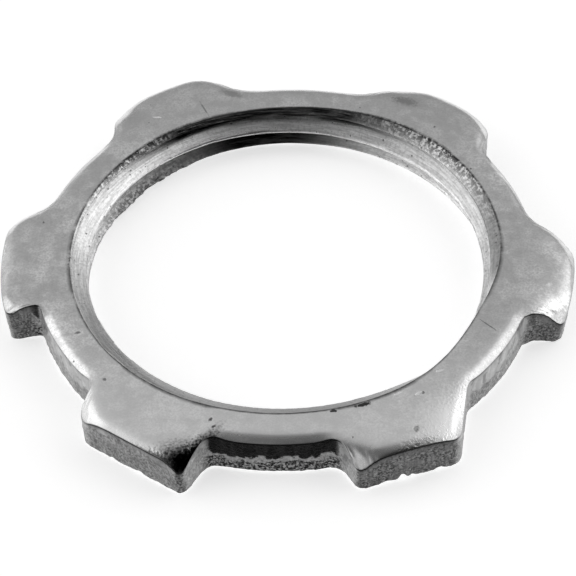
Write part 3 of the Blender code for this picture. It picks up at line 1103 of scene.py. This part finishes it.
bpy.ops.mesh.primitive_circle_add(vertices=FLOOR_SIDES, radius=FLOOR_RADIUS, fill_type="NGON")
floor = bpy.context.object
floor.name = "floor"
pale = bpy.data.materials.new("pale_floor")
pale.use_nodes = True
floor_tree = pale.node_tree
floor_tree.nodes.clear()
ray = add(floor_tree, "ShaderNodeLightPath").outputs
seen = ray["Is Camera Ray"]
for kind in ("Is Glossy Ray", "Is Transmission Ray"):
    seen = calc(floor_tree, "MAXIMUM", seen, ray[kind])
matt = add(floor_tree, "ShaderNodeBsdfDiffuse", {"Color": FLOOR_WHITE}).outputs[0]
glow = add(
    floor_tree, "ShaderNodeEmission", {"Strength": calc(floor_tree, "MULTIPLY", seen, FLOOR_GLOW)}
).outputs[0]
top = add(floor_tree, "ShaderNodeAddShader", {0: matt, 1: glow}).outputs[0]
clear = add(floor_tree, "ShaderNodeBsdfTransparent").outputs[0]
below = add(floor_tree, "ShaderNodeNewGeometry").outputs["Backfacing"]
shown = add(floor_tree, "ShaderNodeMixShader", {0: below, 1: top, 2: clear}).outputs[0]
floor_tree.links.new(shown, add(floor_tree, "ShaderNodeOutputMaterial").inputs["Surface"])
floor.data.materials.append(pale)
print("floor, m across:", round(floor.dimensions.x, 2))

# %% [markdown]
# ## The room
# To the camera the world is white. What the metal reflects is another matter, and makes
# most of its look: it sees a grey room, brighter overhead and to either side, with two
# dark areas, one high in front and one lower at the front right. Metal has almost no
# colour of its own, so a plain white world would leave the nut flat.

# %% Room
DARK_AREAS = [
    # place as the camera counts degrees, height, outer and inner reach in degrees, and level
    (270, 66, 44, 8, 0.18), (308, 32, 38, 22, 0.01),
]
SIDE_LIGHT = 0.8
RISE_START, RISE_END = 0.3, 0.75
LEVEL_LOW, LEVEL_HIGH = 0.45, 0.64


def way(turn, height):
    """Direction towards a place in the studio, with the turn as the camera counts degrees."""
    angle, rise = radians(turn) + CAMERA_TURN, radians(height)
    return Vector((cos(angle) * cos(rise), sin(angle) * cos(rise), sin(rise)))


scene = bpy.context.scene
studio = bpy.data.worlds.new("studio")
scene.world = studio
studio.use_nodes = True
studio_tree = studio.node_tree
studio_tree.nodes.clear()
ray = add(studio_tree, "ShaderNodeLightPath").outputs
towards = add(studio_tree, "ShaderNodeTexCoord").outputs["Generated"]
parts = add(studio_tree, "ShaderNodeSeparateXYZ", {0: towards}).outputs
sideways = calc(studio_tree, "MULTIPLY", parts["X"], parts["X"])
upwards = ease(studio_tree, parts["Z"], RISE_START, RISE_END, LEVEL_LOW, LEVEL_HIGH)
room = calc(studio_tree, "MULTIPLY_ADD", sideways, SIDE_LIGHT, upwards)
for turn, height, outer, inner, level in DARK_AREAS:
    nearness = vector_calc(
        studio_tree, "DOT_PRODUCT", towards, way(turn, height), output="Value"
    )
    shade = ease(studio_tree, nearness, cos(radians(outer)), cos(radians(inner)))
    room = add(studio_tree, "ShaderNodeMix", {"Factor": shade, "A": room, "B": level}).outputs[0]
seen = calc(studio_tree, "MAXIMUM", ray["Is Camera Ray"], ray["Is Transmission Ray"])
strength = add(studio_tree, "ShaderNodeMix", {"Factor": seen, "A": room, "B": 1.0}).outputs[0]
sky = add(studio_tree, "ShaderNodeBackground", {"Strength": strength}).outputs[0]
studio_tree.links.new(sky, add(studio_tree, "ShaderNodeOutputWorld").inputs["Surface"])
print("dark areas in the room:", len(DARK_AREAS))

# %% [markdown]
# ## The lamps
# A soft box on either side gives the bright bands on the rolled edges and the glints in
# the thread, and the right one is the stronger. A small lamp would give hard sparks, so
# both are large for the size of the nut.

# %% Lamps
SOFT_BOX_DISTANCE = 0.4


def soft_box(name, turn, height, size, watts):
    """A soft box that faces the nut, turned as the camera counts degrees."""
    lamp = bpy.data.lights.new(name, "AREA")
    lamp.shape = "RECTANGLE"
    lamp.size, lamp.size_y = size
    lamp.energy = watts
    box = bpy.data.objects.new(name, lamp)
    away = way(turn, height)
    box.location = away * SOFT_BOX_DISTANCE
    box.rotation_euler = away.to_track_quat("Z", "Y").to_euler()
    box.visible_camera = False
    scene.collection.objects.link(box)
    print(name, "at", [round(side, 2) for side in box.location])


soft_box("right_soft_box", turn=20, height=32, size=(0.42, 0.3), watts=0.23)
soft_box("left_soft_box", turn=172, height=26, size=(0.38, 0.24), watts=0.13)

# %% [markdown]
# ## The camera
# The view is from about 45 degrees up, with the camera a few degrees round from the
# middle of a gap between two lugs and slightly tilted, as in the photograph. A long lens
# keeps the far side nearly as large as the near side.

# %% Camera
CAMERA_UNIT = 28.6 * MM
CAMERA_DISTANCE = 9.66 * CAMERA_UNIT
CAMERA_HEIGHT = radians(44.99)
CAMERA_ROLL = radians(2.36)
SENSOR_WIDTH = 36
PICTURE = 576
UNIT_IN_PICTURE = 286.99
CENTRE_IN_PICTURE = (284.84, 251.49)

target = Vector((0, 0, high.z))
heading = CAMERA_TURN - pi / 2
offset = Vector((cos(heading) * cos(CAMERA_HEIGHT), sin(heading) * cos(CAMERA_HEIGHT),
                 sin(CAMERA_HEIGHT)))
view = bpy.data.cameras.new("camera")
camera = bpy.data.objects.new("camera", view)
scene.collection.objects.link(camera)
aim = (-offset).to_track_quat("-Z", "Y").to_matrix().to_4x4()
camera.matrix_world = (
    Matrix.Translation(target + offset * CAMERA_DISTANCE) @ aim
    @ Matrix.Rotation(-CAMERA_ROLL, 4, "Z")
)
view.sensor_width = SENSOR_WIDTH
view.lens = UNIT_IN_PICTURE * CAMERA_DISTANCE / CAMERA_UNIT / PICTURE * SENSOR_WIDTH
view.shift_x = 0.5 - CENTRE_IN_PICTURE[0] / PICTURE
view.shift_y = CENTRE_IN_PICTURE[1] / PICTURE - 0.5
scene.camera = camera
scene.view_settings.view_transform = "Standard"
print("lens, mm:", round(view.lens))
